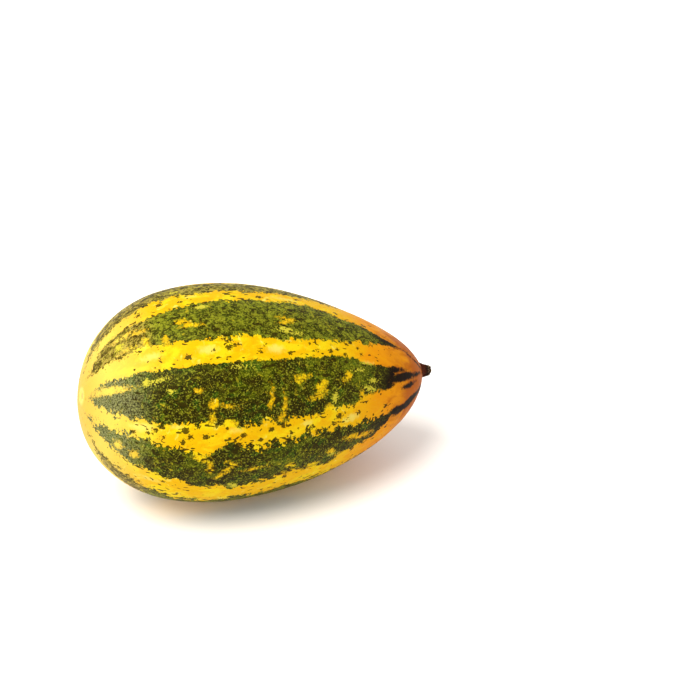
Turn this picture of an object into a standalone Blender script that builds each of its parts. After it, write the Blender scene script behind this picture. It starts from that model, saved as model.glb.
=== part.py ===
"""A ripe striped cucumber lying on its belly, with the dry stub of its stem.

Run with: blender --background --python part.py
Metres, +Z up. +X runs along the fruit from the blossom end to the stem end. The origin is on
the surface that the fruit lies on, under the middle of the whole object.
"""

import math

import bmesh
import bpy
from mathutils import Matrix, Vector

# The fruit
LENGTH = 0.165  # from the blossom pole to the stem pole
GROWTH = (0.79, 0.655, 0.60, 0.505, 0.44)  # fullness from the blossom end to the stem end
BLOSSOM_DRIFT = (0.0, -0.002)  # how far the blossom end drifts off the straight, in Y and Z
STEM_DRIFT = (0.0, 0.004)  # the same for the stem end
DRIFT_REACH = 6  # the higher this is, the closer to its end each drift stays
CAGE_AROUND = 12
CAGE_ALONG = 10
SKIN_LEVELS = 2

# How it lies
STEM_END_DROP = math.radians(8.0)  # the thinner stem end lies lower
BELLY_PRESS = 0.0006  # the ripe belly flattens by this much where it rests

# The scar of the blossom, a little off the end's middle
SCAR_WIDTH = 0.0048
SCAR_DEPTH = 0.0007
SCAR_OFFSET = (-0.002, 0.004)  # in Y and Z

# The stem stub, a dry ridged stalk that flares where it meets the fruit
STUB_LENGTH = 0.0058
STUB_RIDGES = 5
STUB_RIDGE_DEPTH = 0.10  # of the stub's radius
STUB_RADII = ((0.0, 0.0042), (0.25, 0.0034), (0.60, 0.0029), (1.0, 0.0026))  # (along, radius)
STUB_EDGE = 0.06  # rings this far from each end, as a part of the length, keep its rims crisp
STUB_OFFSET = (0.0, 0.003)  # from the stem end's middle, in Y and Z
SEAT_RADIUS = 0.0050
SEAT_DEPTH = 0.0006
GAP = 0.0003  # clearance between the stub and its seat

CUTTER_REACH = 0.02


def clear_scene():
    for old in list(bpy.data.objects):
        bpy.data.objects.remove(old, do_unlink=True)


def new_collection(name):
    collection = bpy.data.collections.new(name)
    bpy.context.scene.collection.children.link(collection)
    return collection


def skin_material(name, colour, roughness):
    material = bpy.data.materials.new(name)
    material.use_nodes = True
    shader = material.node_tree.nodes["Principled BSDF"]
    shader.inputs["Base Color"].default_value = (*colour, 1.0)
    shader.inputs["Roughness"].default_value = roughness
    shader.inputs["Metallic"].default_value = 0.0
    return material


def object_from(bm, name, collection, parent=None):
    mesh = bpy.data.meshes.new(name)
    bm.to_mesh(mesh)
    bm.free()
    obj = bpy.data.objects.new(name, mesh)
    obj.parent = parent
    collection.objects.link(obj)
    return obj


def add_cutter(bm, name, collection, parent=None):
    cutter = object_from(bm, name, collection, parent)
    cutter.hide_render = True
    cutter.display_type = "WIRE"
    return cutter


def cut(obj, cutter):
    boolean = obj.modifiers.new("cut " + cutter.name, "BOOLEAN")
    boolean.operation = "DIFFERENCE"
    boolean.object = cutter


def subdivide(obj, levels):
    surface = obj.modifiers.new("skin", "SUBSURF")
    surface.levels = levels
    surface.render_levels = levels
    obj.data.shade_smooth()


def cage_allowance(points_around):
    """How far a cage stands proud of the rounded surface that it gives."""
    return 3.0 / (2.0 + math.cos(2.0 * math.pi / points_around))


def half_width(along):
    """Half of the fruit's width at a place along it, from 0 at the blossom to 1 at the stem."""
    order = len(GROWTH) - 1
    fullness = sum(
        share * math.comb(order, i) * along**i * (1.0 - along) ** (order - i)
        for i, share in enumerate(GROWTH)
    )
    return LENGTH * math.sqrt(along * (1.0 - along)) * fullness


def middle_line(along):
    """The centre of the fruit's round section at a place along it, in the fruit's own axes."""
    blossom = (1.0 - along) ** DRIFT_REACH
    stem = along**DRIFT_REACH
    side = BLOSSOM_DRIFT[0] * blossom + STEM_DRIFT[0] * stem
    height = BLOSSOM_DRIFT[1] * blossom + STEM_DRIFT[1] * stem
    return Vector(((along - 0.5) * LENGTH, side, height))


def make_fruit(collection, parent):
    """A ball's cage drawn out along X, so that each ring takes the fruit's width there."""
    bm = bmesh.new()
    pole_to_x = Matrix.Rotation(math.radians(90.0), 4, "Y")
    bmesh.ops.create_uvsphere(
        bm, u_segments=CAGE_AROUND, v_segments=CAGE_ALONG, radius=1.0, matrix=pole_to_x
    )
    proud_around = cage_allowance(CAGE_AROUND)
    proud_along = cage_allowance(2 * CAGE_ALONG)
    for point in bm.verts:
        along = min(max(0.5 + 0.5 * point.co.x, 0.0), 1.0)
        round_part = Vector((0.0, point.co.y, point.co.z))
        if round_part.length > 1e-6:
            round_part = round_part.normalized() * half_width(along) * proud_around * proud_along
        point.co = middle_line(along) + round_part
        point.co.x *= proud_along
    bmesh.ops.recalc_face_normals(bm, faces=bm.faces)
    fruit = object_from(bm, "fruit", collection, parent)
    fruit.data.materials.append(skin_material("ripe skin", (0.55, 0.40, 0.04), 0.38))
    subdivide(fruit, SKIN_LEVELS)
    return fruit


def stub_radius(along):
    """The stub's radius from its foot, 0, to its broken end, 1, on straight runs."""
    for (start, before), (end, after) in zip(STUB_RADII, STUB_RADII[1:]):
        if along <= end:
            return before + (after - before) * (along - start) / (end - start)
    return STUB_RADII[-1][1]


def make_stub(collection, parent):
    """A ridged stalk: a cylinder's cage with every other line of points drawn in."""
    bm = bmesh.new()
    along_x = Matrix.Rotation(math.radians(90.0), 4, "Y")
    stations = (STUB_EDGE, STUB_RADII[1][0], STUB_RADII[2][0], 1.0 - STUB_EDGE)
    bmesh.ops.create_cone(
        bm, cap_ends=True, segments=2 * STUB_RIDGES, radius1=1.0, radius2=1.0, depth=1.0,
        matrix=Matrix.Translation((0.5, 0.0, 0.0)) @ along_x,
    )
    for station in stations:
        bmesh.ops.bisect_plane(
            bm, geom=bm.verts[:] + bm.edges[:] + bm.faces[:],
            plane_co=(station, 0.0, 0.0), plane_no=(1.0, 0.0, 0.0),
        )
    for cap in [face for face in bm.faces if abs(face.normal.x) > 0.9]:
        bmesh.ops.inset_individual(bm, faces=[cap], thickness=0.25)
        bmesh.ops.poke(bm, faces=[cap])
    proud = cage_allowance(2 * STUB_RIDGES)
    for point in bm.verts:
        along = point.co.x
        angle = math.atan2(point.co.z, point.co.y)
        reach = math.hypot(point.co.y, point.co.z)
        ridge = 1.0 + STUB_RIDGE_DEPTH * math.cos(STUB_RIDGES * angle)
        radius = reach * ridge * stub_radius(along) * proud
        point.co = (along * STUB_LENGTH, radius * math.cos(angle), radius * math.sin(angle))
    bmesh.ops.recalc_face_normals(bm, faces=bm.faces)
    stub = object_from(bm, "stem_stub", collection, parent)
    stub.data.materials.append(skin_material("dry stalk", (0.07, 0.05, 0.025), 0.8))
    subdivide(stub, 1)
    return stub


def evaluated_points(obj):
    """The object's points as its modifiers leave them, in world space."""
    bpy.context.view_layer.update()
    shown = obj.evaluated_get(bpy.context.evaluated_depsgraph_get())
    mesh = shown.to_mesh()
    points = [shown.matrix_world @ vertex.co for vertex in mesh.vertices]
    shown.to_mesh_clear()
    return points


def end_of_skin(fruit, side, offset):
    """Where a line along X meets the skin at one end, side -1 or +1, and the skin's facing."""
    pole = middle_line(0.5 + 0.5 * side)
    start = Vector((side * LENGTH, pole.y + offset[0], pole.z + offset[1]))
    bpy.context.view_layer.update()
    shown = fruit.evaluated_get(bpy.context.evaluated_depsgraph_get())
    _, place, facing, _ = shown.ray_cast(start, Vector((-side, 0.0, 0.0)))
    return place, facing


def cut_blossom_scar(fruit, cutters, parent):
    """A ball bites a small round dimple out of the blossom end."""
    radius = (0.25 * SCAR_WIDTH**2 + SCAR_DEPTH**2) / (2.0 * SCAR_DEPTH)
    bm = bmesh.new()
    bmesh.ops.create_uvsphere(bm, u_segments=24, v_segments=16, radius=radius)
    cutter = add_cutter(bm, "blossom_scar_cutter", cutters, parent)
    place, facing = end_of_skin(fruit, -1, SCAR_OFFSET)
    cutter.location = place + facing * (radius - SCAR_DEPTH)
    cut(fruit, cutter)


def seat_stub(fruit, stub, cutters, parent):
    """A shallow flat seat on the stem end, and the stub standing in it with a small gap."""
    place, _ = end_of_skin(fruit, 1, STUB_OFFSET)
    seat = place - Vector((SEAT_DEPTH, 0.0, 0.0))
    bm = bmesh.new()
    bmesh.ops.create_cone(
        bm, cap_ends=True, segments=32, radius1=SEAT_RADIUS, radius2=SEAT_RADIUS,
        depth=CUTTER_REACH, matrix=Matrix.Rotation(math.radians(90.0), 4, "Y"),
    )
    cutter = add_cutter(bm, "stem_seat_cutter", cutters, parent)
    cutter.location = seat + Vector((0.5 * CUTTER_REACH, 0.0, 0.0))
    cut(fruit, cutter)
    stub.location = seat + Vector((GAP, 0.0, 0.0))


def lay_down(fruit, stub, cutters, parent):
    """Tips the fruit to its rest, sets it over the origin and flattens the belly it lies on."""
    parent.rotation_euler = (0.0, STEM_END_DROP, 0.0)
    points = evaluated_points(fruit) + evaluated_points(stub)
    low = Vector(min(point[axis] for point in points) for axis in range(3))
    high = Vector(max(point[axis] for point in points) for axis in range(3))
    middle = 0.5 * (low + high)
    parent.location = (-middle.x, -middle.y, -low.z - BELLY_PRESS)
    bm = bmesh.new()
    bmesh.ops.create_cube(bm, size=1.0)
    bmesh.ops.scale(bm, vec=(LENGTH, LENGTH, CUTTER_REACH), verts=bm.verts)
    bmesh.ops.translate(bm, vec=(0.0, 0.0, -0.5 * CUTTER_REACH), verts=bm.verts)
    cut(fruit, add_cutter(bm, "ground_cutter", cutters))


def main():
    clear_scene()
    pieces = new_collection("cucumber")
    cutters = new_collection("cutters")
    rest = bpy.data.objects.new("rest_pose", None)
    pieces.objects.link(rest)
    fruit = make_fruit(pieces, rest)
    stub = make_stub(pieces, rest)
    cut_blossom_scar(fruit, cutters, rest)
    seat_stub(fruit, stub, cutters, rest)
    lay_down(fruit, stub, cutters, rest)


main()
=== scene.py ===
# %% [markdown]
# # A ripe striped cucumber
# The short, round cucumber that turns golden as it ripens, with dark mottled bands from end to
# end. A plain solid model of it is packed already: one solid for the fruit and one for the dry
# stub of its stem. This lesson grows a fine skin and a fine stub over those two solids, paints
# them with nodes, and sets up a plain studio. Everything is in metres, +Z is up, and +X runs
# from the blossom end to the stem end.

# %% Load the solid model
import math

import bmesh
import bpy
import numpy as np
from mathutils import Matrix, Vector, noise
from mathutils.bvhtree import BVHTree


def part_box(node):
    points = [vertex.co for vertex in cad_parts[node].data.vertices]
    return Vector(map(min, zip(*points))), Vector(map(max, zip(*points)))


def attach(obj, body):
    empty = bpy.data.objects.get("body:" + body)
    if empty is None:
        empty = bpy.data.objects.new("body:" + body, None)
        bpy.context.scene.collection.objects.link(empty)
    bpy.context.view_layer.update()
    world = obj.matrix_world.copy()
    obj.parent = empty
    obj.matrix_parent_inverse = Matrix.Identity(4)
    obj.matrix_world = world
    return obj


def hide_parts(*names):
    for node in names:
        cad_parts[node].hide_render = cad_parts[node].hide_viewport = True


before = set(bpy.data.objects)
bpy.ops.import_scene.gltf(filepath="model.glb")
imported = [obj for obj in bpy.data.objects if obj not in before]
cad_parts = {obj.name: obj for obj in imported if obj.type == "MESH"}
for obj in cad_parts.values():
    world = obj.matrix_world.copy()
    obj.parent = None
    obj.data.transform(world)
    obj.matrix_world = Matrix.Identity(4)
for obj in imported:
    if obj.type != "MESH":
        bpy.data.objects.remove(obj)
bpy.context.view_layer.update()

MM = 0.001

# %% [markdown]
# ## The growth of the fruit
# A fruit like this is round across and egg-shaped along. Its half width can be written as the
# outline of a ball times a smooth fullness, given by five shares from the blossom end to the
# stem end. That is easier to adjust than a list of measured rings, and it closes neatly at both
# poles. The stem end also drifts up a little from the straight middle line, as it hung.

# %% The outline and the middle line
LENGTH = 0.165
FULLNESS = (0.79, 0.655, 0.60, 0.505, 0.44)
BLOSSOM_DRIFT = np.array((0.0, 0.0, -0.002))
STEM_DRIFT = np.array((0.0, 0.0, 0.004))
DRIFT_REACH = 6


def half_width(along):
    """Half of the fruit's width, for places from 0 at the blossom to 1 at the stem."""
    order = len(FULLNESS) - 1
    fullness = sum(
        share * math.comb(order, i) * along**i * (1 - along) ** (order - i)
        for i, share in enumerate(FULLNESS)
    )
    return LENGTH * np.sqrt(along * (1 - along)) * fullness


def middle_line(along):
    """Centres of the round sections, one row for each place along the fruit."""
    along = np.asarray(along, float)[..., None]
    straight = (along - 0.5) * np.array((LENGTH, 0.0, 0.0))
    return straight + BLOSSOM_DRIFT * (1 - along) ** DRIFT_REACH + STEM_DRIFT * along**DRIFT_REACH


print("widest:", round(2000 * float(half_width(np.linspace(0, 1, 200)).max()), 1), "mm")

# %% [markdown]
# ## A fine ball to start from
# The skin starts as a ball with its poles where the fruit's ends will be, because a ball has
# rings across and lines along, just as a fruit grows. Each point keeps two names: how far along
# the fruit it is, and how far around, in degrees from the top towards the front. The rest of
# the lesson shapes and paints by those two numbers.

# %% The ball and its two coordinates
LINES_AROUND = 384
RINGS_ALONG = 250
PAINT_MAP = "OFBake"


def ball_mesh(name, around_count, along_count):
    """A unit ball with its poles on Z, and a map of around by along."""
    bm = bmesh.new()
    bm.loops.layers.uv.new(PAINT_MAP)
    bmesh.ops.create_uvsphere(
        bm, u_segments=around_count, v_segments=along_count, radius=1.0, calc_uvs=True
    )
    mesh = bpy.data.meshes.new(name)
    bm.to_mesh(mesh)
    bm.free()
    return mesh


def points_of(mesh):
    flat = np.empty(len(mesh.vertices) * 3)
    mesh.vertices.foreach_get("co", flat)
    return flat.reshape(-1, 3)


def set_points(mesh, points):
    mesh.vertices.foreach_set("co", points.astype(np.float32).ravel())
    mesh.update()


skin_mesh = ball_mesh("cucumber_skin", LINES_AROUND, RINGS_ALONG)
ball = points_of(skin_mesh)
along = np.clip(0.5 + 0.5 * ball[:, 2], 0.0, 1.0)
around = np.degrees(np.arctan2(ball[:, 1], ball[:, 0]))
width = half_width(along)
print("points in the skin:", len(ball))

# %% [markdown]
# ## Draw the ball out into the fruit
# Each ring of the ball moves to its place on the middle line and takes the fruit's width there.

# %% The plain egg shape
turn = np.radians(around)
across = np.stack([np.zeros_like(turn), -np.sin(turn), np.cos(turn)], axis=1)
set_points(skin_mesh, middle_line(along) + across * width[:, None])

# %% [markdown]
# ## What makes it a grown thing
# A real fruit is never as even as a formula. The skin swells slightly between its nine bands,
# it has slow dents and rises a few centimetres wide, and fine unevenness a few millimetres
# wide that breaks up the gloss. All of it is done by moving points along the skin's facing, so
# that it is there in the shape itself and not only in the shading.

# %% Swellings and dents
SWELLINGS = 9
SWELL_TURN = 18.0  # the first swelling is this many degrees round from the top
SWELL_HEIGHT = 0.22 * MM
UNEVENNESS = ((48 * MM, 0.55 * MM), (15 * MM, 0.16 * MM), (5 * MM, 0.045 * MM))  # (size, height)


def facings_of(mesh):
    flat = np.empty(len(mesh.vertices) * 3, np.float32)
    mesh.vertex_normals.foreach_get("vector", flat)
    return flat.reshape(-1, 3).astype(float)


def smooth_noise(points, size, shift):
    """Soft noise between about -1 and 1, with bumps of the given size."""
    offset = Vector((shift, shift, shift))
    return np.array([noise.noise(Vector(point) / size + offset) for point in points])


plain = points_of(skin_mesh)
ends_fade = np.sin(np.pi * along) ** 0.8
rise = SWELL_HEIGHT * np.cos(np.radians(SWELLINGS * (around - SWELL_TURN))) * ends_fade
for step, (size, height) in enumerate(UNEVENNESS):
    rise += height * smooth_noise(plain, size, 7.3 * (step + 1))
print("unevenness:", round(rise.min() / MM, 2), "to", round(rise.max() / MM, 2), "mm")

# %% [markdown]
# ## The two ends
# At the blossom end the flower left a small round scar: a shallow dimple with a slightly raised,
# puckered rim. At the stem end the skin pulls up into a low collar round the stalk. Both sit a
# little off the middle of their ends, so each is measured by its distance from its own spot.

# %% The blossom scar and the stem's collar
SCAR_SPOT = np.array((-0.0020, 0.0040))  # off the blossom end's middle, in Y and Z
SCAR_RADIUS = 2.1 * MM
SCAR_DEPTH = 0.5 * MM
RIM_HEIGHT = 0.22 * MM
PUCKERS = 11
STALK_SPOT = np.array((0.0, 0.0030))
COLLAR_RADIUS = 4.4 * MM
COLLAR_HEIGHT = 0.9 * MM


def spread_from(spot, end):
    """Distance across from a spot at one end, and the angle round it, for each skin point."""
    centre = middle_line(float(end))[1:] + spot
    offset = plain[:, 1:] - centre
    near = (along > 0.5) == (end > 0.5)
    return np.where(near, np.hypot(*offset.T), 1.0), np.arctan2(offset[:, 1], offset[:, 0])


scar_away, scar_turn = spread_from(SCAR_SPOT, 0)
pucker = 1 + 0.25 * np.cos(PUCKERS * scar_turn)
rise -= SCAR_DEPTH * np.exp(-((scar_away / SCAR_RADIUS) ** 4))
from_rim = (scar_away - 1.5 * SCAR_RADIUS) / (0.6 * SCAR_RADIUS)
rise += RIM_HEIGHT * pucker * np.exp(-(from_rim**2))
stalk_away, _ = spread_from(STALK_SPOT, 1)
rise += COLLAR_HEIGHT * np.exp(-((stalk_away / COLLAR_RADIUS) ** 2))
set_points(skin_mesh, plain + facings_of(skin_mesh) * rise[:, None])

# %% [markdown]
# ## Lay it on its belly
# The solid fruit rests with its thin stem end a few degrees lower, and the ripe belly is
# pressed flat where it lies. The skin is turned the same way, set so that its blossom end and
# its middle meet the solid's box, and everything that would dip under the surface is eased up
# to it. The ease is a soft bend and not a sharp fold, as a heavy fruit's is.

# %% The resting place
STEM_END_DROP = math.radians(8.0)
BELLY_PRESS = 0.6 * MM
BELLY_EASE = 0.3 * MM

tipped = points_of(skin_mesh) @ np.array(Matrix.Rotation(STEM_END_DROP, 3, "Y")).T
box_low, box_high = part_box("fruit")
middle_y = 0.5 * (box_low.y + box_high.y)
place = np.array((box_low.x - tipped[:, 0].min(), middle_y, -BELLY_PRESS - tipped[:, 2].min()))
laid = tipped + place
laid[:, 2] = 0.5 * (laid[:, 2] + np.hypot(laid[:, 2], BELLY_EASE))
set_points(skin_mesh, laid)
print("moved by", np.round(place / MM, 2), "mm; lowest", round(laid[:, 2].min() / MM, 3), "mm")

# %% [markdown]
# ## Check it against the solid
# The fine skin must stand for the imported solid, so the distance between the two is measured
# before going on, at one point in about a hundred.

# %% Measure the fit
EVERY = 97


def tree_of(obj):
    mesh = obj.data
    return BVHTree.FromPolygons(
        [vertex.co for vertex in mesh.vertices], [face.vertices for face in mesh.polygons]
    )


solid = tree_of(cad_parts["fruit"])
away = [solid.find_nearest(Vector(point))[3] for point in laid[::EVERY]]
print("skin to solid, mm: mean", round(float(np.mean(away)) / MM, 2), "most", round(max(away) / MM, 2))

# %% [markdown]
# ## Where the dark bands run
# Dark green bands run from end to end over a yellow ground. Each is a short list of places:
# how far along, and the two degrees around between which the skin is green there. The marks are
# listed, and everything between them is smooth. Before the marks stand three characters of
# the band: how frayed its first and its last edge are, and how far its green has faded as the
# fruit ripened. Fading is strongest at the blossom end, and near the stem the edges are cleaner.

# %% The bands
BANDS = {
    "top_front": (1.0, 0.9, 0.27, (
        (0.010, 14, 13), (0.03, 4, 26), (0.08, 3, 28), (0.12, 5, 27), (0.16, 7, 30), (0.24, 6, 31),
        (0.35, 6, 32), (0.40, 5, 30), (0.44, 4, 32), (0.50, 5, 33), (0.56, 3, 32), (0.62, 2, 31),
        (0.66, 4, 32), (0.70, 6, 30), (0.75, 8, 28), (0.80, 11, 27), (0.84, 15, 25),
        (0.88, 17, 22), (0.91, 19, 18),
    )),
    "front": (0.6, 1.3, 0.0, (
        (0.005, 53, 50), (0.02, 44, 68), (0.05, 43, 73), (0.10, 44, 75), (0.16, 45, 76),
        (0.26, 45, 77), (0.28, 45, 75), (0.31, 45, 78), (0.335, 45, 75), (0.36, 45, 78),
        (0.42, 44, 77), (0.46, 44, 75), (0.49, 44, 79), (0.51, 44, 76), (0.56, 43, 75),
        (0.60, 42, 75), (0.68, 41, 73), (0.72, 41, 73), (0.75, 43, 70), (0.80, 45, 67),
        (0.835, 46, 62), (0.855, 50, 56),
    )),
    "low_front": (1.9, 1.3, 0.02, (
        (0.010, 95, 93), (0.03, 87, 105), (0.10, 88, 111), (0.15, 89, 112), (0.20, 90, 113),
        (0.24, 92, 115), (0.265, 96, 117), (0.295, 96, 117), (0.31, 91, 116), (0.33, 88, 116),
        (0.345, 85, 117), (0.365, 88, 119), (0.385, 91, 120), (0.41, 89, 118), (0.43, 91, 115),
        (0.455, 88, 116), (0.48, 86, 115), (0.50, 89, 115), (0.52, 86, 114), (0.54, 90, 113),
        (0.56, 86, 113), (0.60, 88, 113), (0.655, 84, 116), (0.69, 87, 115), (0.72, 88, 109),
        (0.77, 88, 109), (0.80, 88, 107), (0.835, 88, 100), (0.86, 92, 91),
    )),
    "under_front": (2.2, 1.2, 0.30, (
        (0.015, 134, 132), (0.05, 126, 145), (0.15, 130, 151), (0.28, 135, 154), (0.50, 130, 156),
        (0.60, 131, 154), (0.70, 134, 152), (0.82, 134, 145), (0.88, 136, 135),
    )),
    "under": (1.6, 1.6, 0.3, (
        (0.015, 179, 177), (0.06, 170, 186), (0.30, 172, 190), (0.60, 171, 191), (0.78, 173, 187),
        (0.86, 179, 178),
    )),
    "under_back": (1.4, 1.0, 0.2, (
        (0.015, 221, 219), (0.05, 209, 228), (0.25, 207, 233), (0.55, 206, 235), (0.75, 210, 230),
        (0.90, 220, 219),
    )),
    "back": (0.8, 1.6, 0.1, (
        (0.010, 261, 259), (0.04, 248, 271), (0.20, 245, 275), (0.50, 244, 276), (0.70, 247, 273),
        (0.82, 252, 268), (0.91, 260, 259),
    )),
    "top_back": (1.2, 1.0, 0.25, (
        (0.010, 301, 299), (0.04, 291, 309), (0.20, 287, 313), (0.45, 286, 314), (0.65, 288, 311),
        (0.80, 293, 306), (0.89, 300, 299),
    )),
    "top": (1.2, 1.2, 0.75, (
        (0.010, 340, 338), (0.04, 328, 350), (0.12, 326, 352), (0.22, 333, 353), (0.32, 339, 355),
        (0.48, 341, 355), (0.60, 340, 352), (0.70, 342, 348), (0.76, 345, 344),
    )),
}
LEAST_SWEEP = 12 * MM  # round the poles the lines crowd, so widths are read as at this radius
FADE_FROM, FADE_FULL = 0.19, 0.09  # places along where the blossom end's fading starts and is full
MOST_FADING = 4.0  # how many times more a band fades at the blossom end
CLEANER_FROM, CLEANER_RUN, CLEANER_BY = 0.78, 0.08, 0.65  # where the edges get cleaner, and how much


def turned_from(angle):
    """Degrees around from an angle, between -180 and 180."""
    return (around - angle + 180.0) % 360.0 - 180.0


sweep = np.radians(1.0) * np.maximum(width, LEAST_SWEEP) / MM  # millimetres in one degree around
band_depth = np.full(len(along), -99.0)
frayed = np.ones(len(along))
faded = np.zeros(len(along))
blossom_end = np.clip((FADE_FROM - along) / (FADE_FROM - FADE_FULL), 0.0, 1.0)
for first_edge, last_edge, fading, marks in BANDS.values():
    places, starts, ends = np.array(marks, float).T
    middle = np.interp(along, places, 0.5 * (starts + ends))
    half = np.interp(along, places, 0.5 * (ends - starts))
    reach = turned_from(middle)
    outside = np.maximum(places[0] - along, along - places[-1]).clip(0) * LENGTH / MM
    depth = (half - np.abs(reach)) * sweep - outside
    nearer = depth > band_depth
    band_depth[nearer] = depth[nearer]
    frayed[nearer] = np.where(reach < 0, first_edge, last_edge)[nearer]
    faded[nearer] = (fading * (1.0 + MOST_FADING * blossom_end))[nearer]
frayed *= 1.0 - CLEANER_BY * np.clip((along - CLEANER_FROM) / CLEANER_RUN, 0.0, 1.0)
print("bands:", len(BANDS), "green share:", round(float((band_depth > 0).mean()), 2))

# %% [markdown]
# ## Streaks, flecks and dots
# Towards the stem the bands break up into separate dark streaks, golden and pale flecks show
# through the green, and dark dots lie loose in the yellow. The ones that catch the eye are
# placed one by one as small ovals; the many smaller ones come later, from the paint. An oval is
# given by its place along, its degrees around, half its length and half its width in
# millimetres, and how much it leans. A dot is given by its place, its degrees and half its
# length. Broad clouds, with their strength first, darken or lighten the green softly.

# %% The listed ovals
DARK_STREAKS = (
    (0.862, 48.4, 7.5, 1.5, 0.0), (0.832, 63.0, 5.0, 1.8, -0.1), (0.890, 56.8, 11.5, 2.1, -0.10),
    (0.950, 54.0, 6.0, 0.9, -0.2), (0.918, 67.8, 4.6, 1.4, -0.1), (0.868, 90.5, 5.0, 1.8, 0.0),
    (0.910, 92.0, 8.5, 2.3, -0.1), (0.955, 90.0, 6.0, 1.5, -0.1), (0.850, 19.0, 7.0, 1.5, 0.1),
    (0.925, 21.0, 7.0, 0.45, 0.35), (0.965, 29.0, 5.0, 0.45, 0.3),
    (0.930, 133.0, 7.0, 1.6, 0.0), (0.920, 220.0, 9.0, 1.6, 0.1), (0.940, 260.0, 9.0, 2.2, 0.0),
    (0.915, 298.0, 8.0, 1.6, 0.1), (0.900, 178.0, 7.0, 1.2, 0.0), (0.905, 341.0, 7.0, 0.9, -0.1),
)
GOLD_FLECKS = (
    (0.045, 51.8, 7.5, 1.8, 0.1), (0.105, 11.5, 3.0, 1.2, 0.1), (0.128, 15.0, 2.6, 1.0, 0.1),
    (0.078, 10.0, 2.0, 1.0, 0.1), (0.100, 24.0, 2.4, 0.8, 0.1),
    (0.242, 18.5, 3.0, 1.5, 0.2), (0.262, 21.5, 4.0, 1.2, 0.1), (0.535, 19.5, 3.4, 1.3, 0.1),
    (0.522, 22.0, 2.0, 0.9, 0.0), (0.189, 28.0, 1.5, 2.2, 0.0), (0.142, 26.0, 1.2, 3.0, 0.3),
    (0.297, 66.0, 1.8, 2.4, 0.0), (0.294, 73.5, 1.4, 2.6, 0.0), (0.342, 76.5, 3.2, 1.8, 0.0),
    (0.332, 67.0, 3.2, 0.7, 0.1), (0.460, 63.0, 1.1, 3.4, 0.25), (0.454, 66.5, 1.0, 1.8, 0.0),
    (0.495, 70.5, 0.8, 4.6, 0.15), (0.485, 75.0, 1.6, 1.2, 0.0), (0.552, 54.0, 3.4, 1.3, -0.1),
    (0.537, 56.0, 1.8, 0.9, 0.0), (0.607, 60.5, 3.0, 2.0, 0.2), (0.597, 64.5, 3.4, 1.5, -0.2),
    (0.617, 57.5, 1.6, 1.5, 0.0), (0.697, 53.5, 2.0, 2.0, -0.3), (0.687, 56.5, 1.6, 0.8, 0.0),
    (0.742, 67.5, 1.6, 2.4, 0.1), (0.635, 73.0, 2.4, 2.2, 0.0), (0.259, 58.5, 1.8, 1.2, 0.1),
    (0.757, 71.0, 4.5, 1.4, -0.3), (0.357, 99.0, 2.6, 1.2, 0.2),
    (0.345, 103.0, 2.6, 1.2, -0.7), (0.333, 107.0, 2.4, 0.9, -0.7), (0.299, 101.5, 1.4, 3.0, 0.2),
    (0.269, 95.5, 3.0, 1.6, 0.2), (0.722, 97.5, 4.0, 1.6, 0.1), (0.747, 99.5, 5.0, 1.5, 0.05),
    (0.659, 104.5, 2.0, 1.9, 0.2), (0.535, 107.0, 2.6, 1.6, 0.2), (0.422, 104.0, 4.0, 0.6, -0.1),
    (0.547, 112.5, 4.5, 1.3, 0.1), (0.607, 111.5, 3.0, 1.4, 0.1), (0.697, 112.0, 3.0, 1.5, 0.2),
    (0.777, 102.0, 2.4, 1.0, 0.0), (0.105, 102.0, 1.8, 2.2, 0.0), (0.069, 100.0, 1.6, 2.2, 0.0),
)
PALE_FLECKS = (
    (0.299, 9.3, 3.0, 1.4, 0.0), (0.521, 26.6, 3.4, 1.7, 0.05), (0.558, 28.6, 3.4, 0.7, 0.1),
    (0.081, 18.3, 1.8, 2.0, 0.0), (0.131, 51.3, 2.0, 1.7, 0.0), (0.166, 50.8, 3.6, 0.9, -0.15),
    (0.651, 66.8, 1.8, 2.8, -0.3), (0.771, 44.1, 2.8, 1.0, 0.0), (0.781, 57.8, 2.8, 0.9, 0.2),
    (0.768, 63.3, 3.4, 1.3, 0.2), (0.376, 116.8, 3.2, 1.5, 0.2), (0.251, 347.8, 2.4, 1.2, 0.0),
    (0.731, 49.8, 3.0, 0.8, 0.0), (0.188, 57.8, 1.6, 1.2, 0.0), (0.666, 108.3, 3.0, 1.2, 0.1),
    (0.371, 47.6, 3.2, 0.8, 0.0), (0.291, 37.3, 5.0, 2.2, 0.0), (0.481, 38.3, 4.5, 2.4, 0.0),
    (0.146, 35.8, 5.0, 2.0, 0.0), (0.116, 79.8, 5.0, 2.4, 0.0), (0.201, 77.8, 3.0, 1.3, 0.0),
    (0.361, 79.8, 3.6, 1.4, 0.0), (0.711, 81.8, 4.0, 2.2, 0.0), (0.566, 79.8, 3.0, 1.6, 0.0),
    (0.556, 358.8, 7.0, 1.6, 0.0), (0.286, 357.8, 4.0, 1.4, 0.0), (0.156, 119.8, 5.0, 1.6, 0.0),
)
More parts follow.
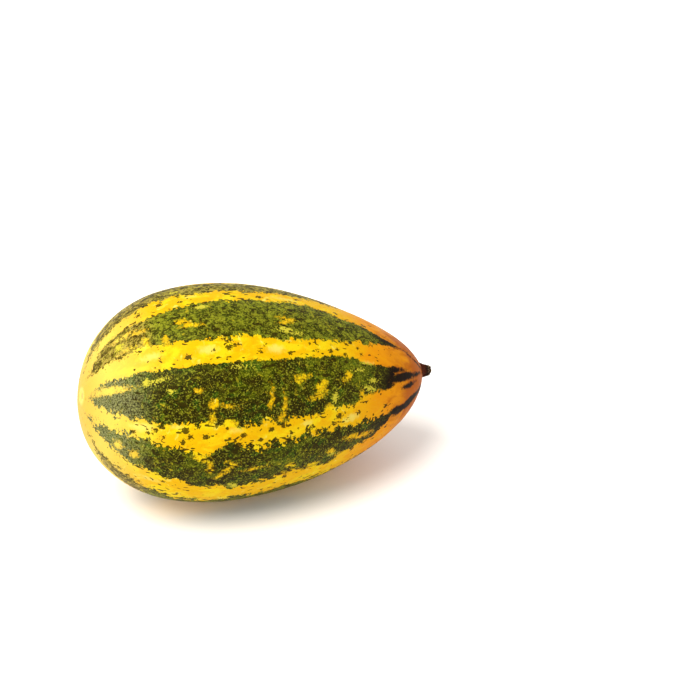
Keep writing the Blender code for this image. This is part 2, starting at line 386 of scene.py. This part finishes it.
DARK_DOTS = (
    (0.348, 37.0, 1.6), (0.365, 35.8, 1.4), (0.380, 35.3, 0.9), (0.358, 33.0, 1.1), (0.338, 31.5, 1.4),
    (0.238, 40.0, 1.6), (0.168, 38.0, 0.9), (0.178, 34.5, 0.8), (0.308, 38.0, 0.9), (0.318, 42.0, 0.9),
    (0.453, 36.0, 0.9), (0.438, 40.0, 1.0), (0.523, 40.5, 1.2), (0.608, 38.0, 1.0), (0.650, 37.8, 1.3),
    (0.673, 36.5, 0.9), (0.708, 32.2, 1.0), (0.743, 33.2, 1.0), (0.698, 39.5, 1.2), (0.753, 37.6, 1.0),
    (0.148, 80.5, 1.2), (0.133, 83.0, 1.0), (0.098, 84.0, 1.2), (0.168, 84.5, 1.1), (0.223, 79.8, 1.8),
    (0.238, 83.3, 1.5), (0.218, 86.0, 1.3), (0.278, 83.0, 1.6), (0.253, 77.5, 1.4), (0.378, 83.0, 1.3),
    (0.428, 86.0, 1.2), (0.458, 81.0, 1.5), (0.473, 87.0, 1.6), (0.495, 79.3, 1.7), (0.570, 84.0, 1.4),
    (0.586, 82.5, 1.3), (0.600, 86.5, 1.3), (0.668, 79.0, 1.8), (0.733, 79.5, 1.3), (0.828, 80.5, 1.2),
    (0.198, 358.0, 1.5), (0.143, 359.0, 1.4), (0.253, 1.5, 1.3), (0.403, 1.0, 1.2), (0.478, 0.5, 1.8),
    (0.368, 88.0, 1.8), (0.358, 92.0, 1.5), (0.513, 88.5, 1.4), (0.188, 118.0, 1.0), (0.528, 116.5, 1.4),
)
TONE_CLOUDS = (
    (-1.0, 0.24, 66.0, 26.0, 9.0), (-1.0, 0.42, 72.0, 18.0, 6.0), (-0.9, 0.54, 70.0, 12.0, 6.0),
    (-0.7, 0.66, 67.0, 8.0, 5.0), (-0.9, 0.25, 101.0, 22.0, 8.0), (-0.8, 0.78, 101.0, 12.0, 7.0),
    (-0.7, 0.68, 91.0, 14.0, 4.0), (-0.6, 0.42, 100.0, 12.0, 6.0), (-0.8, 0.26, 27.0, 16.0, 4.0),
    (-0.6, 0.62, 23.0, 16.0, 6.0), (0.8, 0.62, 50.0, 14.0, 6.0), (0.9, 0.72, 47.0, 9.0, 5.0),
    (0.6, 0.42, 50.0, 12.0, 5.0), (0.6, 0.13, 96.0, 9.0, 7.0), (0.7, 0.37, 12.0, 12.0, 6.0),
    (0.7, 0.20, 11.0, 10.0, 5.0), (0.7, 0.50, 102.0, 10.0, 6.0), (-0.6, 0.58, 95.0, 12.0, 5.0),
)


def oval_depth(place, angle, half_length, half_width_mm, lean=0.0):
    """Millimetres inside an oval on the skin, for each skin point; less than 0 outside."""
    forward = (along - place) * LENGTH / MM
    sideways = turned_from(angle) * sweep - lean * forward
    reach = np.hypot(forward / half_length, sideways / half_width_mm)
    return (1.0 - reach) * min(half_length, half_width_mm)


def deepest(ovals):
    return np.clip(np.max([oval_depth(*oval) for oval in ovals], axis=0), -9.0, 9.0)


def soft_cloud(strength, place, angle, half_length, half_width_mm):
    forward = (along - place) * LENGTH / MM
    reach = np.hypot(forward / half_length, turned_from(angle) * sweep / half_width_mm)
    return strength * np.exp(-(reach**2))


tone = np.clip(sum(soft_cloud(*cloud) for cloud in TONE_CLOUDS), -1.0, 1.0)
streak_depth = deepest(DARK_STREAKS)
gold_depth = deepest(GOLD_FLECKS)
pale_depth = deepest(PALE_FLECKS)
dot_depth = deepest([(spot, angle, half, 0.85 * half) for spot, angle, half in DARK_DOTS])
fleck_count = len(GOLD_FLECKS) + len(PALE_FLECKS)
print("streaks", len(DARK_STREAKS), "flecks", fleck_count, "dots", len(DARK_DOTS))

# %% [markdown]
# ## The ground spot
# The side that lay on the soil got no sun, so its green fades to plain yellow in a long patch.
# This fruit rests on that side. The bands are thinned there, most in the middle of the patch.

# %% Fade the belly
GROUND_PLACE, GROUND_ANGLE = 0.50, 186.0
GROUND_HALF_LENGTH, GROUND_HALF_WIDTH = 52.0, 24.0  # millimetres
GROUND_SHRINK = 16.0  # the bands lose this many millimetres of depth in its middle

ground_reach = np.hypot(
    (along - GROUND_PLACE) * LENGTH / MM / GROUND_HALF_LENGTH,
    turned_from(GROUND_ANGLE) * sweep / GROUND_HALF_WIDTH,
)
ground = np.clip(1.3 - ground_reach, 0.0, 1.0)
band_depth = band_depth - GROUND_SHRINK * ground**2
print("ground spot covers", round(float((ground > 0.5).mean()), 3), "of the skin")

# %% [markdown]
# ## Keep the marks on the skin
# The paint reads its marks from the skin: how deep a point lies inside a band, a streak, a fleck
# or a dot, how frayed the nearest edge is and how faded the green, how far the point is from
# each end's middle, and where it is. Places are stored unrolled onto a straight drum and in
# millimetres, so that grain drawn on them runs along the fruit and gathers at its ends, as the
# real one's does.

# %% Store them as attributes
DRUM_RADIUS = 50.0
FAR_AWAY = 99.0  # distances from the ends are stored up to this


def keep(mesh, name, kind, values):
    """Stores one value, or one row of three, for each point of the mesh."""
    attribute = mesh.attributes.new(name, kind, "POINT")
    field = "vector" if kind == "FLOAT_VECTOR" else "value"
    attribute.data.foreach_set(field, values.astype(np.float32).ravel())


profile = np.linspace(0.0, 1.0, 2001)
run = np.hypot(np.diff(profile) * LENGTH, np.diff(half_width(profile)))
path = np.concatenate([[0.0], np.cumsum(run)]) / MM
drum = DRUM_RADIUS * (width / width.max()) ** 0.6
unrolled = np.stack(
    [np.interp(along, profile, path), -drum * np.sin(turn), drum * np.cos(turn)], axis=1
)
skin_marks = {
    "band_depth": band_depth,
    "frayed": frayed,
    "faded": faded,
    "tone": tone,
    "streak_depth": streak_depth,
    "gold_depth": gold_depth,
    "pale_depth": pale_depth,
    "dot_depth": dot_depth,
    "along": along,
    "scar_away": np.minimum(scar_away / MM, FAR_AWAY),
    "stalk_away": np.minimum(stalk_away / MM, FAR_AWAY),
}
for mark_name, values in skin_marks.items():
    keep(skin_mesh, mark_name, "FLOAT", values)
keep(skin_mesh, "drum", "FLOAT_VECTOR", unrolled)
skin_mesh.shade_smooth()
print("pole to pole over the skin:", round(float(path[-1]), 1), "mm")

# %% [markdown]
# ## Small tools for painting with nodes
# A finish here is a graph of nodes. These helpers add one node each, wire its inputs and hand
# back its output, so that a finish reads as a recipe: noise of this size, kept between these
# two levels, mixing these two colours.

# %% The painting tools
STUDIO_LIGHT = 1.65  # how much brighter than a screen's own white this studio lights a thing


def seen_colour(red, green, blue):
    """Paint that shows on a screen as these three numbers out of 255 in the studio's light."""
    def paint(part):
        part = part / 255.0
        light = part / 12.92 if part <= 0.04045 else ((part + 0.055) / 1.055) ** 2.4
        return light / STUDIO_LIGHT
    return (paint(red), paint(green), paint(blue), 1.0)


class Finish:
    """A material with an empty Principled shader, and one method for each kind of node."""

    def __init__(self, name):
        self.material = bpy.data.materials.new(name)
        self.material.use_nodes = True
        self.nodes = self.material.node_tree.nodes
        self.links = self.material.node_tree.links
        self.shader = self.nodes["Principled BSDF"]

    def wire(self, value, socket):
        if isinstance(value, bpy.types.NodeSocket):
            self.links.new(value, socket)
        else:
            socket.default_value = value

    def mark(self, name):
        """What the mesh stores under this name, as a number."""
        node = self.nodes.new("ShaderNodeAttribute")
        node.attribute_name = name
        return node.outputs["Fac"]

    def place(self, name, stretch=(1.0, 1.0, 1.0)):
        attribute = self.nodes.new("ShaderNodeAttribute")
        attribute.attribute_name = name
        node = self.nodes.new("ShaderNodeMapping")
        node.inputs["Scale"].default_value = stretch
        self.links.new(attribute.outputs["Vector"], node.inputs["Vector"])
        return node.outputs["Vector"]

    def noise(self, place, size, detail=2.0, rough=0.5, warp=0.0):
        """Cloudy noise whose blotches are about this size, in the units of the place."""
        node = self.nodes.new("ShaderNodeTexNoise")
        self.links.new(place, node.inputs["Vector"])
        node.inputs["Scale"].default_value = 1.0 / size
        node.inputs["Detail"].default_value = detail
        node.inputs["Roughness"].default_value = rough
        node.inputs["Distortion"].default_value = warp
        return node.outputs["Fac"]

    def maths(self, operation, first, second=0.0, third=0.0):
        node = self.nodes.new("ShaderNodeMath")
        node.operation = operation
        for socket, value in zip(node.inputs, (first, second, third)):
            self.wire(value, socket)
        return node.outputs["Value"]

    def level(self, value, low, high, to_low=0.0, to_high=1.0):
        """A smooth step from to_low to to_high as the value goes from low to high."""
        node = self.nodes.new("ShaderNodeMapRange")
        node.interpolation_type = "SMOOTHSTEP"
        node.inputs["From Min"].default_value = low
        node.inputs["From Max"].default_value = high
        node.inputs["To Min"].default_value = to_low
        node.inputs["To Max"].default_value = to_high
        self.links.new(value, node.inputs["Value"])
        return node.outputs["Result"]

    def mix(self, share, first, second):
        node = self.nodes.new("ShaderNodeMix")
        node.data_type = "RGBA"
        self.wire(share, node.inputs["Factor"])
        self.wire(first, node.inputs[6])
        self.wire(second, node.inputs[7])
        return node.outputs[2]

    def relief(self, height, depth, strength=1.0):
        """Turns a height from 0 to 1 into small bumps this deep, in metres."""
        node = self.nodes.new("ShaderNodeBump")
        node.inputs["Strength"].default_value = strength
        node.inputs["Distance"].default_value = depth
        self.links.new(height, node.inputs["Height"])
        self.links.new(node.outputs["Normal"], self.shader.inputs["Normal"])


# %% [markdown]
# ## The frayed edges of the bands
# Up close no edge is clean: the green ends in blunt fingers one to four millimetres long, and
# small dark dots lie loose in the yellow beside it. The depth inside a band is pushed up and
# down by three sizes of noise before it is cut at zero. That keeps the big shape of the bands
# and frays their edges, more on some edges than on others.

# %% Skin paint, part one: where it is green
skin = Finish("ripe cucumber skin")
grain = skin.place("drum")
long_grain = skin.place("drum", (0.55, 1.0, 1.0))
finger_grain = skin.place("drum", (1.2, 0.85, 0.85))
place_along = skin.mark("along")

coarse = skin.maths("SUBTRACT", skin.noise(grain, 6.0, 2.0, 0.55, 0.5), 0.5)
fingers = skin.maths("SUBTRACT", skin.noise(finger_grain, 1.7, 2.0, 0.6, 0.4), 0.5)
fine = skin.maths("SUBTRACT", skin.noise(grain, 1.0, 2.0, 0.6, 0.3), 0.5)
push = skin.maths("MULTIPLY_ADD", coarse, 7.0, skin.maths("MULTIPLY", fingers, 6.0))
push = skin.maths("MULTIPLY_ADD", fine, 2.4, push)
edge = skin.maths("MULTIPLY_ADD", push, skin.mark("frayed"), skin.mark("band_depth"))
tatters = skin.maths("MULTIPLY", fingers, 5.0)
tattered = skin.maths("MULTIPLY", skin.level(place_along, 0.13, 0.02), tatters)
edge = skin.maths("ADD", edge, tattered)
streak_edge = skin.maths("MULTIPLY_ADD", push, 0.25, skin.mark("streak_depth"))
streaks = skin.level(streak_edge, -0.5, 0.6)
green_share = skin.maths("MAXIMUM", skin.level(edge, -0.25, 0.35), streaks)

dot_edge = skin.maths("MULTIPLY_ADD", fine, 4.0, skin.mark("dot_depth"))
loose = skin.noise(long_grain, 1.9, 1.0, 0.5, 0.3)
loose = skin.maths("MULTIPLY_ADD", skin.level(skin.mark("band_depth"), -7.0, -0.5), 0.09, loose)
loose = skin.maths("MULTIPLY_ADD", skin.mark("frayed"), 0.032, loose)
loose = skin.maths("SUBTRACT", loose, skin.level(place_along, 0.12, 0.04, 0.0, 0.2))
dots = skin.maths("MAXIMUM", skin.level(dot_edge, -0.1, 0.3), skin.level(loose, 0.748, 0.782))

# %% [markdown]
# ## The yellow ground
# The ground is golden with paler, lemon-coloured clouds half a centimetre wide. It is palest at
# the blossom end, partly its own paleness and partly a painted sheen of the light from the left.
# Towards the stem it deepens to orange, and the skin right round the stalk is brown.

# %% Skin paint, part two: yellow
clouds = skin.noise(long_grain, 7.0, 3.0, 0.55, 0.6)
yellow = skin.mix(skin.level(clouds, 0.46, 0.62), seen_colour(248, 194, 0), seen_colour(252, 220, 16))
deeper = skin.level(skin.noise(long_grain, 4.0, 3.0, 0.6, 0.4), 0.54, 0.66)
yellow = skin.mix(skin.maths("MULTIPLY", deeper, 0.6), yellow, seen_colour(244, 176, 0))
freckles = skin.level(skin.noise(grain, 0.8, 1.0, 0.5), 0.60, 0.74)
yellow = skin.mix(skin.maths("MULTIPLY", freckles, 0.30), yellow, seen_colour(206, 140, 10))
lemon = skin.level(skin.noise(grain, 5.0, 3.0, 0.6, 0.6), 0.60, 0.72)
yellow = skin.mix(skin.maths("MULTIPLY", lemon, 0.8), yellow, seen_colour(250, 236, 96))
# Paler towards the blossom end: partly the skin's own paleness, partly painted sheen of the light on the
# left.
pale_end_and_sheen = skin.maths("MULTIPLY", skin.level(place_along, 0.20, 0.02), 0.8)
yellow = skin.mix(pale_end_and_sheen, yellow, seen_colour(242, 214, 98))
yellow = skin.mix(skin.level(place_along, 0.045, 0.0), yellow, seen_colour(236, 190, 72))
orange_noise = skin.maths("MULTIPLY_ADD", skin.maths("SUBTRACT", clouds, 0.5), 0.3, place_along)
yellow = skin.mix(skin.level(orange_noise, 0.66, 0.84), yellow, seen_colour(246, 158, 0))
yellow = skin.mix(skin.level(orange_noise, 0.81, 0.95), yellow, seen_colour(192, 99, 0))
brown_share = skin.level(skin.maths("MULTIPLY_ADD", fine, 3.0, skin.mark("stalk_away")), 7.0, 4.0)
yellow = skin.mix(brown_share, yellow, seen_colour(120, 58, 8))

# %% [markdown]
# ## The green bands
# The green isn't one colour. It is a dark olive with brighter green clouds and darker and paler
# mottling in them, and all over it lie specks under a millimetre wide, some lighter and some
# nearly black. Here and there a paler fleck lets the yellow through. Where a band has faded it
# is olive, and where it has faded most a dull straw brown. A greyish painted sheen, standing for
# the reflection of the light on the left, lies speckled on the green at the blossom end, and
# towards the stem the bands turn a brown that is almost black.

# %% Skin paint, part three: green
green_clouds = skin.noise(grain, 13.0, 4.0, 0.6, 0.6)
toned = skin.maths("MULTIPLY_ADD", skin.mark("tone"), 0.11, green_clouds)
green = skin.mix(skin.level(toned, 0.42, 0.60), seen_colour(56, 48, 0), seen_colour(80, 88, 0))
green = skin.mix(skin.level(toned, 0.56, 0.68), green, seen_colour(100, 104, 6))
vivid = skin.level(skin.noise(grain, 5.5, 3.0, 0.6, 0.4), 0.53, 0.66, 0.0, 0.8)
green = skin.mix(vivid, green, seen_colour(56, 90, 12))
clumps = skin.maths("MULTIPLY_ADD", skin.mark("tone"), 0.03, skin.noise(grain, 2.6, 4.0, 0.68, 0.7))
green = skin.mix(skin.level(clumps, 0.53, 0.67, 0.0, 0.85), green, seen_colour(132, 134, 12))
green = skin.mix(skin.level(clumps, 0.49, 0.37, 0.0, 0.8), green, seen_colour(30, 27, 0))
faded = skin.mark("faded")
olive = skin.mix(skin.level(clumps, 0.42, 0.60), seen_colour(66, 68, 0), seen_colour(160, 162, 36))
green = skin.mix(skin.level(faded, 0.0, 0.45), green, olive)
dull = skin.mix(skin.level(clumps, 0.44, 0.60), seen_colour(92, 72, 8), seen_colour(200, 172, 74))
green = skin.mix(skin.level(faded, 0.40, 0.90, 0.0, 0.9), green, dull)
specks = skin.noise(grain, 0.75, 2.0, 0.65)
green = skin.mix(skin.level(specks, 0.53, 0.69, 0.0, 0.9), green, seen_colour(160, 160, 44))
green = skin.mix(skin.level(specks, 0.49, 0.35, 0.0, 0.65), green, seen_colour(22, 22, 0))
flecks = skin.noise(skin.place("drum", (0.8, 1.0, 1.0)), 3.4, 4.0, 0.65, 1.0)
green = skin.mix(skin.level(flecks, 0.61, 0.70, 0.0, 0.8), green, seen_colour(190, 172, 30))
dark_noise = skin.maths("MULTIPLY_ADD", skin.maths("SUBTRACT", green_clouds, 0.5), 0.25, place_along)
green = skin.mix(skin.level(dark_noise, 0.76, 0.86, 0.0, 0.97), green, seen_colour(24, 4, 0))
# Painted sheen: grey speckles on the green near the blossom end, standing for the reflection of the
# light on the left.
painted_sheen_specks = skin.level(specks, 0.40, 0.60, 0.1, 0.85)
painted_sheen_share = skin.maths("MULTIPLY", skin.level(place_along, 0.17, 0.06), painted_sheen_specks)
painted_sheen_share = skin.maths("MULTIPLY", painted_sheen_share, skin.level(faded, 0.6, 0.2))
green = skin.mix(painted_sheen_share, green, seen_colour(152, 152, 98))

# %% [markdown]
# ## The scar, and everything together
# The golden and pale flecks go onto the green and the pale patches onto the yellow first. Then
# the green lies over the yellow, and the dots over both. The blossom scar is dry, with a pale
# ring. The skin has a thin natural wax, so its gloss is soft and broad: a middling roughness
# that changes a little from blotch to blotch, and a very low highlight, which keeps the dark
# green deep under a bright studio sky. The specks also stand out a few hundredths of a
# millimetre.

# %% Skin paint, part four: finish
gold_edge = skin.maths("MULTIPLY_ADD", fingers, 4.0, skin.mark("gold_depth"))
gold_edge = skin.maths("MULTIPLY_ADD", fine, 3.4, gold_edge)
gold_share = skin.level(gold_edge, -0.8, 1.1)
pale_edge = skin.maths("MULTIPLY_ADD", fingers, 3.0, skin.mark("pale_depth"))
plain_end = skin.level(place_along, 0.14, 0.10)
plain_gold = skin.maths("MAXIMUM", skin.level(fine, -0.05, 0.08), plain_end)
gold = skin.mix(plain_gold, seen_colour(232, 186, 12), yellow)
green = skin.mix(gold_share, green, gold)
speckled = skin.maths("MULTIPLY_ADD", skin.maths("SUBTRACT", specks, 0.5), 5.0, pale_edge)
green = skin.mix(skin.level(speckled, -0.3, 0.8, 0.0, 0.85), green, seen_colour(226, 212, 60))
yellow = skin.mix(skin.level(pale_edge, -0.6, 1.8, 0.0, 0.7), yellow, seen_colour(250, 234, 112))
colour = skin.mix(green_share, yellow, green)
colour = skin.mix(skin.maths("MULTIPLY", dots, 0.9), colour, seen_colour(50, 40, 0))
scar_reach = skin.maths("MULTIPLY_ADD", fine, 1.6, skin.mark("scar_away"))
colour = skin.mix(skin.level(scar_reach, 5.0, 3.0), colour, seen_colour(248, 220, 110))
colour = skin.mix(skin.level(scar_reach, 1.9, 1.0), colour, seen_colour(226, 190, 100))
skin.wire(colour, skin.shader.inputs["Base Color"])
gloss_noise = skin.noise(grain, 3.0, 3.0, 0.6)
skin.wire(skin.level(gloss_noise, 0.3, 0.7, 0.40, 0.52), skin.shader.inputs["Roughness"])
skin.shader.inputs["Specular IOR Level"].default_value = 0.035
skin.relief(skin.maths("MULTIPLY_ADD", gloss_noise, 1.2, specks), 0.05 * MM, 0.6)

cucumber_skin = bpy.data.objects.new("cucumber_skin", skin_mesh)
bpy.context.scene.collection.objects.link(cucumber_skin)
skin_mesh.materials.append(skin.material)
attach(cucumber_skin, "root")
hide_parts("fruit")
print("skin nodes:", len(skin.nodes))

# %% [markdown]
# ## The stem stub
# What is left of the stalk is short, dark and dry. Five ridges run along it, it flares where it
# joins the skin, and its broken end is rough and slightly hollow. Its foot reaches a little under
# the skin, so that it looks grown on. It starts as the same kind of ball, because a closed
# rounded end is wanted: most of the ball's height becomes the side of the stalk, and the rest
# closes its foot and its end.

# %% Shape the stub
STUB_LENGTH = 5.3 * MM
STUB_FOOT = -1.2 * MM  # it starts this far inside the skin
STUB_RADII = ((-1.2, 4.1), (0.0, 3.7), (0.9, 3.2), (2.2, 2.8), (3.6, 2.6), (4.6, 2.3), (5.3, 1.8))
STUB_RIDGES, RIDGE_DEPTH = 5, 0.10
FURROWS, FURROW_DEPTH = 17, 0.03
STUB_LINES, STUB_RINGS = 96, 72
SIDE_STARTS, SIDE_ENDS = 0.03, 0.86  # shares of the ball's height
DOME, HOLLOW = 0.45 * MM, 0.25 * MM
FIBRE_BUMP, LUMP_BUMP = 0.30 * MM, 0.34 * MM

stub_mesh = ball_mesh("stem_stub_bark", STUB_LINES, STUB_RINGS)
stub_ball = points_of(stub_mesh)
stub_turn = np.arctan2(stub_ball[:, 1], stub_ball[:, 0])
height_share = 0.5 + 0.5 * stub_ball[:, 2]
climb = np.clip((height_share - SIDE_STARTS) / (SIDE_ENDS - SIDE_STARTS), 0.0, 1.0)
stub_out = STUB_FOOT + climb * (STUB_LENGTH - STUB_FOOT)
radius_at = np.interp(stub_out / MM, *np.array(STUB_RADII).T) * MM
closing = np.clip((height_share - SIDE_ENDS) / (1.0 - SIDE_ENDS), 0.0, 1.0)
foot_closing = np.clip(height_share / SIDE_STARTS, 0.0, 1.0)
cap_radius = np.sqrt(np.clip(1.0 - closing, 0.0, 1.0)) * foot_closing
ridge = 1 + RIDGE_DEPTH * np.cos(STUB_RIDGES * stub_turn)
ridge += FURROW_DEPTH * np.cos(FURROWS * stub_turn + 1.0)
stub_radius = radius_at * cap_radius * ridge
dome = DOME * np.sqrt(closing) - HOLLOW * closing**2
stub_points = np.stack(
    [stub_out + dome, -stub_radius * np.sin(stub_turn), stub_radius * np.cos(stub_turn)], axis=1
)
set_points(stub_mesh, stub_points)
bumps = FIBRE_BUMP * smooth_noise(stub_points * np.array((0.35, 1, 1)), 0.9 * MM, 3.1)
bumps += LUMP_BUMP * smooth_noise(stub_points, 2.2 * MM, 9.4)
set_points(stub_mesh, stub_points + facings_of(stub_mesh) * bumps[:, None])
print("stub points:", len(stub_points))

# %% [markdown]
# ## Set the stub in the stem end
# The stub stands a little above the middle of the stem end. It is turned and moved exactly as
# the fruit was when it was laid down.

# %% Place the stub
SET_BACK = 0.55 * MM

stem_spot = middle_line(1.0) + np.array((0.0, *STALK_SPOT))
stub_start = stem_spot - np.array((SET_BACK, 0.0, 0.0))
in_fruit = points_of(stub_mesh) + stub_start
set_points(stub_mesh, in_fruit @ np.array(Matrix.Rotation(STEM_END_DROP, 3, "Y")).T + place)
keep(stub_mesh, "outward", "FLOAT", stub_points[:, 0] / MM)
keep(stub_mesh, "fibre", "FLOAT_VECTOR", stub_points / MM)
stub_mesh.shade_smooth()
stub_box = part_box("stem_stub")
stub_now = points_of(stub_mesh)
print("stub solid", tuple(stub_box[0]), tuple(stub_box[1]))
print("stub bark", stub_now.min(0), stub_now.max(0))

# %% [markdown]
# ## Bark for the stub
# The stalk dries from green to a dark brown with nearly black furrows, redder towards the
# fruit, and pale crumbs of fibre show at its broken end. Noise stretched along the stalk gives
# the furrows, and the same noise gives the relief.

# %% Stub paint
bark = Finish("dry stalk bark")
furrows = bark.noise(bark.place("fibre", (0.3, 1.0, 1.0)), 0.55, 3.0, 0.6)
wood = bark.mix(bark.level(furrows, 0.35, 0.65), seen_colour(14, 6, 2), seen_colour(54, 28, 12))
crumbs = bark.noise(bark.place("fibre"), 0.5, 2.0, 0.6)
outward = bark.mark("outward")
red_share = bark.maths("MULTIPLY", bark.level(outward, 3.4, 0.6), 0.7)
wood = bark.mix(red_share, wood, seen_colour(92, 30, 8))
near_tip = bark.level(outward, 2.8, 4.4, 0.1, 0.9)
pale_share = bark.maths("MULTIPLY", bark.level(crumbs, 0.55, 0.63), near_tip)
wood = bark.mix(pale_share, wood, seen_colour(178, 152, 116))
bark.wire(wood, bark.shader.inputs["Base Color"])
bark.wire(bark.level(crumbs, 0.3, 0.7, 0.68, 0.92), bark.shader.inputs["Roughness"])
bark.shader.inputs["Specular IOR Level"].default_value = 0.06
bark.relief(furrows, 0.25 * MM)

stem_stub_bark = bpy.data.objects.new("stem_stub_bark", stub_mesh)
bpy.context.scene.collection.objects.link(stem_stub_bark)
stub_mesh.materials.append(bark.material)
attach(stem_stub_bark, "root")
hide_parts("stem_stub")
print("stub nodes:", len(bark.nodes))

# %% [markdown]
# ## The studio floor
# A plain pale sheet of paper, warm white and not glossy, with the faintest tooth. It reaches
# far past the fruit on every side.

# %% Floor
FLOOR_HALF = 4.0
WARM_WHITE = (0.92, 0.885, 0.84, 1.0)
PALER_WHITE = (0.94, 0.905, 0.86, 1.0)

bpy.ops.mesh.primitive_plane_add(size=2 * FLOOR_HALF, location=(0.0, 0.0, 0.0))
studio_floor = bpy.context.active_object
studio_floor.name = "studio_floor"
paper = Finish("pale paper")
tooth = paper.nodes.new("ShaderNodeTexCoord").outputs["Object"]
paper_tone = paper.mix(paper.noise(tooth, 0.02, 3.0), WARM_WHITE, PALER_WHITE)
paper.wire(paper_tone, paper.shader.inputs["Base Color"])
paper.shader.inputs["Roughness"].default_value = 0.9
paper.shader.inputs["Specular IOR Level"].default_value = 0.1
studio_floor.data.materials.append(paper.material)

# %% [markdown]
# ## Light
# One very large soft lamp stands high on the left and in front, and gives the soft shadow to the
# right. A second, much weaker one stands low on the left and lights the blossom end from the
# side. A pale surrounding fills the rest.

# %% Lamps and surroundings
LIT_SPOT = (0.0, 0.0, 0.05)
SURROUNDING_TINT = (1.0, 0.99, 0.98, 1.0)
SURROUNDING_STRENGTH = 0.95


def soft_lamp(name, power, size, location, tint=(1.0, 1.0, 1.0)):
    light = bpy.data.lights.new(name, "AREA")
    light.shape = "DISK"
    light.size = size
    light.energy = power
    light.color = tint
    lamp = bpy.data.objects.new(name, light)
    lamp.location = location
    lamp.rotation_mode = "QUATERNION"
    lamp.rotation_quaternion = (Vector(LIT_SPOT) - Vector(location)).to_track_quat("-Z", "Y")
    bpy.context.scene.collection.objects.link(lamp)


soft_lamp("top_lamp", 52.0, 1.6, (-0.92, -0.42, 1.76), (1.0, 0.99, 0.97))
soft_lamp("side_lamp", 6.0, 0.9, (-1.50, -0.15, 0.50))
world = bpy.data.worlds.new("surroundings")
bpy.context.scene.world = world
world.use_nodes = True
background = world.node_tree.nodes["Background"]
background.inputs["Color"].default_value = SURROUNDING_TINT
background.inputs["Strength"].default_value = SURROUNDING_STRENGTH
bpy.context.scene.view_settings.view_transform = "Standard"

# %% [markdown]
# ## Camera
# A long lens about a metre away, looking down at thirty degrees. The fruit's blossom end is
# turned a little towards it, and the stem end away.

# %% Camera
LENS = 102.9
SENSOR = 36.0
LOOK_DOWN = math.radians(30.0)
TURNED_LEFT = math.radians(18.25)
DISTANCE = 1.0616
AIM = Vector((0.0773, 0.1002, 0.0004))

camera_data = bpy.data.cameras.new("studio_camera")
camera_data.lens = LENS
camera_data.sensor_width = SENSOR
camera = bpy.data.objects.new("studio_camera", camera_data)
bpy.context.scene.collection.objects.link(camera)
back = Vector((
    -math.sin(TURNED_LEFT) * math.cos(LOOK_DOWN),
    -math.cos(TURNED_LEFT) * math.cos(LOOK_DOWN),
    math.sin(LOOK_DOWN),
))
camera.location = AIM + back * DISTANCE
camera.rotation_mode = "QUATERNION"
camera.rotation_quaternion = (-back).to_track_quat("-Z", "Y")
bpy.context.scene.camera = camera
